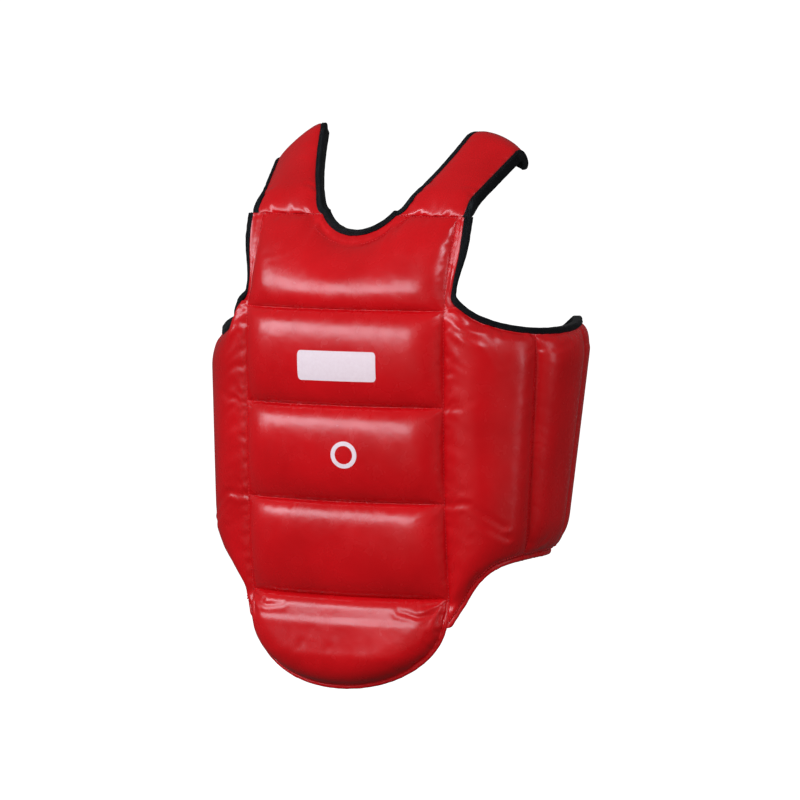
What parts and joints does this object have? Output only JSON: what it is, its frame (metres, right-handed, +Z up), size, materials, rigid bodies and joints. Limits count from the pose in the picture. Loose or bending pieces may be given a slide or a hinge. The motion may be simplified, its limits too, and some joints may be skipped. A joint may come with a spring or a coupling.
{
  "type": "chest protector",
  "caption": "Padded chest protector with sewn front channels, hanging flap, shoulder straps, folding side wings and elastic back bands with hook tabs.",
  "frame": {"origin": "on the wearer's torso axis, level with the lowest point of the flap", "axes": "+Z up, -Y the front of the protector, +X the wearer's left"},
  "size_m": [0.4184, 0.2913, 0.5742],
  "materials": {
    "red_leather": "glossy coated leather",
    "foam": "closed cell foam",
    "black_lining": "woven nylon",
    "black_binding": "nylon tape",
    "black_elastic": "ribbed elastic",
    "hook_tape": "hook tape",
    "loop_tape": "loop tape"
  },
  "bodies": {
    "front": {"center_cover": "red_leather", "center_lining": "black_lining", "chest_foam": "foam", "upper_rib_foam": "foam", "mid_rib_foam": "foam", "lower_rib_foam": "foam", "neck_binding": "black_binding", "left_armhole_binding": "black_binding", "right_armhole_binding": "black_binding"},
    "flap": {"flap_cover": "red_leather", "flap_lining": "black_lining", "flap_foam": "foam"},
    "left_strap": {"left_strap_cover": "red_leather", "left_strap_lining": "black_lining", "left_strap_foam": "foam", "left_strap_inner_binding": "black_binding", "left_strap_outer_binding": "black_binding", "left_strap_loop_patch": "loop_tape"},
    "right_strap": {"right_strap_cover": "red_leather", "right_strap_lining": "black_lining", "right_strap_foam": "foam", "right_strap_inner_binding": "black_binding", "right_strap_outer_binding": "black_binding", "right_strap_loop_patch": "loop_tape"},
    "left_front_wing": {"left_front_wing_cover": "red_leather", "left_front_wing_lining": "black_lining", "left_front_wing_foam": "foam", "left_front_wing_binding": "black_binding"},
    "left_side_wing": {"left_side_wing_cover": "red_leather", "left_side_wing_lining": "black_lining", "left_side_wing_foam": "foam", "left_side_wing_binding": "black_binding"},
    "left_rear_wing": {"left_rear_wing_cover": "red_leather", "left_rear_wing_lining": "black_lining", "left_rear_wing_foam": "foam", "left_rear_wing_binding": "black_binding", "upper_waist_band": "black_elastic", "lower_waist_band": "black_elastic", "back_yoke": "black_lining"},
    "right_front_wing": {"right_front_wing_cover": "red_leather", "right_front_wing_lining": "black_lining", "right_front_wing_foam": "foam", "right_front_wing_binding": "black_binding"},
    "right_side_wing": {"right_side_wing_cover": "red_leather", "right_side_wing_lining": "black_lining", "right_side_wing_foam": "foam", "right_side_wing_binding": "black_binding"},
    "right_rear_wing": {"right_rear_wing_cover": "red_leather", "right_rear_wing_lining": "black_lining", "right_rear_wing_foam": "foam", "right_rear_wing_binding": "black_binding", "upper_loop_patch": "loop_tape", "lower_loop_patch": "loop_tape"},
    "upper_hook_tab": {"upper_hook_tab": "hook_tape"},
    "lower_hook_tab": {"lower_hook_tab": "hook_tape"},
    "left_shoulder_band": {"left_shoulder_band": "black_elastic", "left_shoulder_tab": "hook_tape"},
    "right_shoulder_band": {"right_shoulder_band": "black_elastic", "right_shoulder_tab": "hook_tape"}
  },
  "joints": [
    {"name": "left_front_fold", "type": "hinge", "parent": "front", "child": "left_front_wing", "pos_m": [0.11659, -0.11191, 0.29], "axis": [0, 0, -1], "range_deg": [0, 30]},
    {"name": "left_side_fold", "type": "hinge", "parent": "left_front_wing", "child": "left_side_wing", "pos_m": [0.17712, -0.04358, 0.25], "axis": [-0.0657, 0.0275, -0.9975], "range_deg": [0, 30]},
    {"name": "left_rear_fold", "type": "hinge", "parent": "left_side_wing", "child": "left_rear_wing", "pos_m": [0.17424, 0.03763, 0.25], "axis": [-0.1117, -0.0414, -0.9929], "range_deg": [0, 30]},
    {"name": "right_front_fold", "type": "hinge", "parent": "front", "child": "right_front_wing", "pos_m": [-0.11659, -0.11191, 0.29], "axis": [0, 0, 1], "range_deg": [0, 30]},
    {"name": "right_side_fold", "type": "hinge", "parent": "right_front_wing", "child": "right_side_wing", "pos_m": [-0.17712, -0.04358, 0.25], "axis": [-0.0657, -0.0275, 0.9975], "range_deg": [0, 30]},
    {"name": "right_rear_fold", "type": "hinge", "parent": "right_side_wing", "child": "right_rear_wing", "pos_m": [-0.17424, 0.03763, 0.25], "axis": [-0.1117, 0.0414, 0.9929], "range_deg": [0, 30]},
    {"name": "flap_fold", "type": "hinge", "parent": "front", "child": "flap", "pos_m": [0, -0.121, 0.0935], "axis": [-1, 0, 0], "range_deg": [0, 30]},
    {"name": "left_strap_fold", "type": "hinge", "parent": "front", "child": "left_strap", "pos_m": [0.08188, -0.07649, 0.488], "axis": [-1, 0, 0], "range_deg": [-8, 60]},
    {"name": "right_strap_fold", "type": "hinge", "parent": "front", "child": "right_strap", "pos_m": [-0.08188, -0.07649, 0.488], "axis": [-1, 0, 0], "range_deg": [-8, 60]},
    {"name": "upper_tab_peel", "type": "hinge", "parent": "left_rear_wing", "child": "upper_hook_tab", "pos_m": [-0.15734, 0.10497, 0.3], "axis": [0.0747, -0.0928, -0.9929], "range_deg": [0, 90]},
    {"name": "lower_tab_peel", "type": "hinge", "parent": "left_rear_wing", "child": "lower_hook_tab", "pos_m": [-0.14906, 0.09469, 0.19], "axis": [0.0747, -0.0928, -0.9929], "range_deg": [0, 90]},
    {"name": "left_shoulder_band_swing", "type": "hinge", "parent": "left_rear_wing", "child": "left_shoulder_band", "pos_m": [0.068, 0.13743, 0.33], "axis": [1, 0, 0], "range_deg": [0, 180]},
    {"name": "right_shoulder_band_swing", "type": "hinge", "parent": "left_rear_wing", "child": "right_shoulder_band", "pos_m": [-0.068, 0.13743, 0.33], "axis": [1, 0, 0], "range_deg": [0, 180]}
  ],
  "couplings": [
    {"joint": "left_side_fold", "follows": "left_front_fold", "ratio": 1},
    {"joint": "left_rear_fold", "follows": "left_front_fold", "ratio": 1},
    {"joint": "right_front_fold", "follows": "left_front_fold", "ratio": 1},
    {"joint": "right_side_fold", "follows": "left_front_fold", "ratio": 1},
    {"joint": "right_rear_fold", "follows": "left_front_fold", "ratio": 1}
  ]
}
